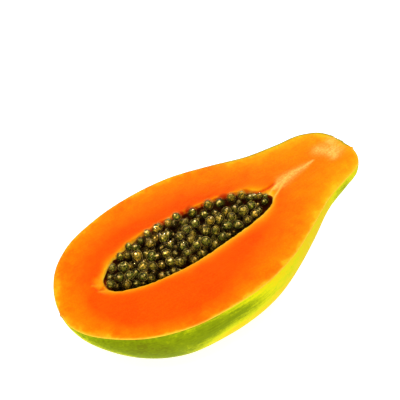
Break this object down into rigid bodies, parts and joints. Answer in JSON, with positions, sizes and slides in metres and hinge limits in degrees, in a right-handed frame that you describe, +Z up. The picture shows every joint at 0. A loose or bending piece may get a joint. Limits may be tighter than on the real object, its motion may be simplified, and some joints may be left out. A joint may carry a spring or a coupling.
{
  "type": "papaya half",
  "caption": "Half of a ripe pear-shaped papaya, cut lengthwise and lying on its skin, with orange flesh and a hollow heaped with dark wet seeds.",
  "frame": {"origin": "centre of the bounding box's underside, in the plane of the flat spot that the fruit rests on", "axes": "+X along the fruit to its stem end, +Y across the cut face, +Z up, square to the cut face"},
  "size_m": [0.21, 0.1043, 0.0642],
  "materials": {
    "flesh": "moist orange flesh, cut smooth",
    "skin": "waxy skin, green turning yellow",
    "seed": "wet, dark olive to black"
  },
  "bodies": {
    "root": {"fruit_half": "flesh", "seeds": "seed"}
  },
  "joints": []
}
